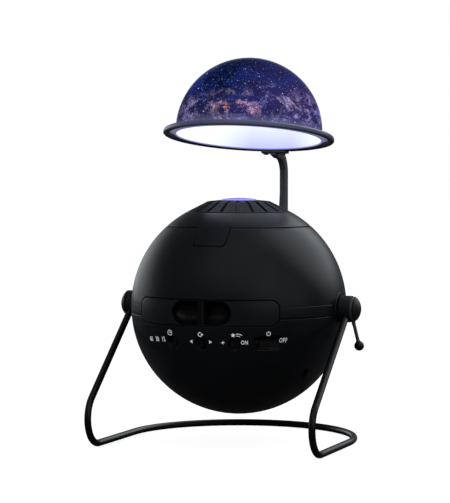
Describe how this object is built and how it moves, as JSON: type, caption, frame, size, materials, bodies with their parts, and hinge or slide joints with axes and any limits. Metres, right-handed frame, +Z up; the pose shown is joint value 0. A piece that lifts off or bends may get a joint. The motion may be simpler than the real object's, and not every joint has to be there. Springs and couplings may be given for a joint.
{
  "type": "planetarium projector",
  "caption": "Ball-shaped tabletop projector that tilts in a bent wire stand, with a focus ring, a disc drawer, slide switches, and a small dome held over the lens by an arm.",
  "frame": {"origin": "on the table, under the centre of the ball", "axes": "+X to the right as one faces the switches, +Y to the back, +Z up"},
  "size_m": [0.1616, 0.1642, 0.2412],
  "materials": {
    "casing": "satin",
    "drawer": "satin",
    "stand": "gloss",
    "hub": "satin",
    "focus": "satin",
    "barrel": "matte",
    "lens": "polished",
    "dome": "translucent satin",
    "ring": "satin",
    "arm": "satin",
    "knob": "matte",
    "steel": "plain",
    "nylon": "matte",
    "board": "satin",
    "sink": "matte",
    "film": "gloss"
  },
  "bodies": {
    "stand": {"stand_wire": "stand", "left_hub": "hub", "right_hub": "hub", "left_pivot_pin": "steel", "right_pivot_pin": "steel", "left_cap": "hub", "clamp_nut": "hub"},
    "lever": {"lock_lever": "stand", "lever_ball": "hub"},
    "globe": {"lower_shell": "casing", "upper_shell": "casing", "top_cover": "casing", "left_bearing": "hub", "right_bearing": "hub", "case_screws": "steel", "lens_mount": "barrel", "chassis": "barrel", "chassis_screws": "steel", "gear_motor": "steel", "condenser_holder": "barrel", "condenser_lens": "lens", "lamp_board": "board", "heat_sink": "sink", "control_board": "board", "slide_switches": "steel", "power_inlet": "steel", "arm_socket": "casing"},
    "focus": {"focus_ring": "focus"},
    "barrel": {"lens_barrel": "barrel", "front_lens": "lens", "rear_lens": "lens", "lens_retainer": "barrel"},
    "tray": {"drawer_front": "drawer", "disc_tray": "drawer"},
    "disc": {"turntable": "nylon", "star_disc": "film"},
    "pinion": {"drive_pinion": "nylon", "motor_shaft": "steel"},
    "mast": {"dome_arm": "arm", "arm_bracket": "arm", "bracket_screws": "steel", "dome_ring": "ring", "dome": "dome"},
    "timer": {"timer_knob": "knob"},
    "turn": {"turn_knob": "knob"},
    "star": {"star_knob": "knob"},
    "power": {"power_knob": "knob"}
  },
  "joints": [
    {"name": "body_tilt", "type": "hinge", "parent": "stand", "child": "globe", "pos_m": [0, 0, 0.085], "axis": [-1, 0, 0], "range_deg": [-60, 60]},
    {"name": "lever_turn", "type": "hinge", "parent": "stand", "child": "lever", "pos_m": [0.0755, 0, 0.085], "axis": [1, 0, 0], "range_deg": [0, 90]},
    {"name": "drawer_slide", "type": "slide", "parent": "globe", "child": "tray", "axis": [0, -1, 0], "range_m": [0, 0.06]},
    {"name": "disc_spin", "type": "hinge", "parent": "tray", "child": "disc", "pos_m": [0, 0, 0.085], "axis": [0, 0, 1], "continuous": true},
    {"name": "pinion_spin", "type": "hinge", "parent": "globe", "child": "pinion", "pos_m": [0, 0.036, 0.085], "axis": [0, 0, 1], "continuous": true},
    {"name": "focus_turn", "type": "hinge", "parent": "globe", "child": "focus", "pos_m": [0, 0, 0.085], "axis": [0, 0, 1], "range_deg": [-75, 75]},
    {"name": "lens_slide", "type": "slide", "parent": "globe", "child": "barrel", "axis": [0, 0, 1], "range_m": [-0.002, 0.002]},
    {"name": "timer_slide", "type": "slide", "parent": "globe", "child": "timer", "axis": [0.9537, -0.3007, 0], "range_m": [-0.0026, 0]},
    {"name": "turn_slide", "type": "slide", "parent": "globe", "child": "turn", "axis": [1, 0, 0], "range_m": [-0.0013, 0.0013]},
    {"name": "star_slide", "type": "slide", "parent": "globe", "child": "star", "axis": [0.9511, 0.309, 0], "range_m": [0, 0.0026]},
    {"name": "power_slide", "type": "slide", "parent": "globe", "child": "power", "axis": [0.8039, 0.5948, 0], "range_m": [0, 0.005]},
    {"name": "dome_lift", "type": "slide", "parent": "globe", "child": "mast", "axis": [0, 0, 1], "range_m": [0, 0.03]}
  ],
  "couplings": [
    {"joint": "pinion_spin", "follows": "disc_spin", "ratio": -3.5},
    {"joint": "lens_slide", "follows": "focus_turn", "m_per_rad": 0.0015279}
  ]
}
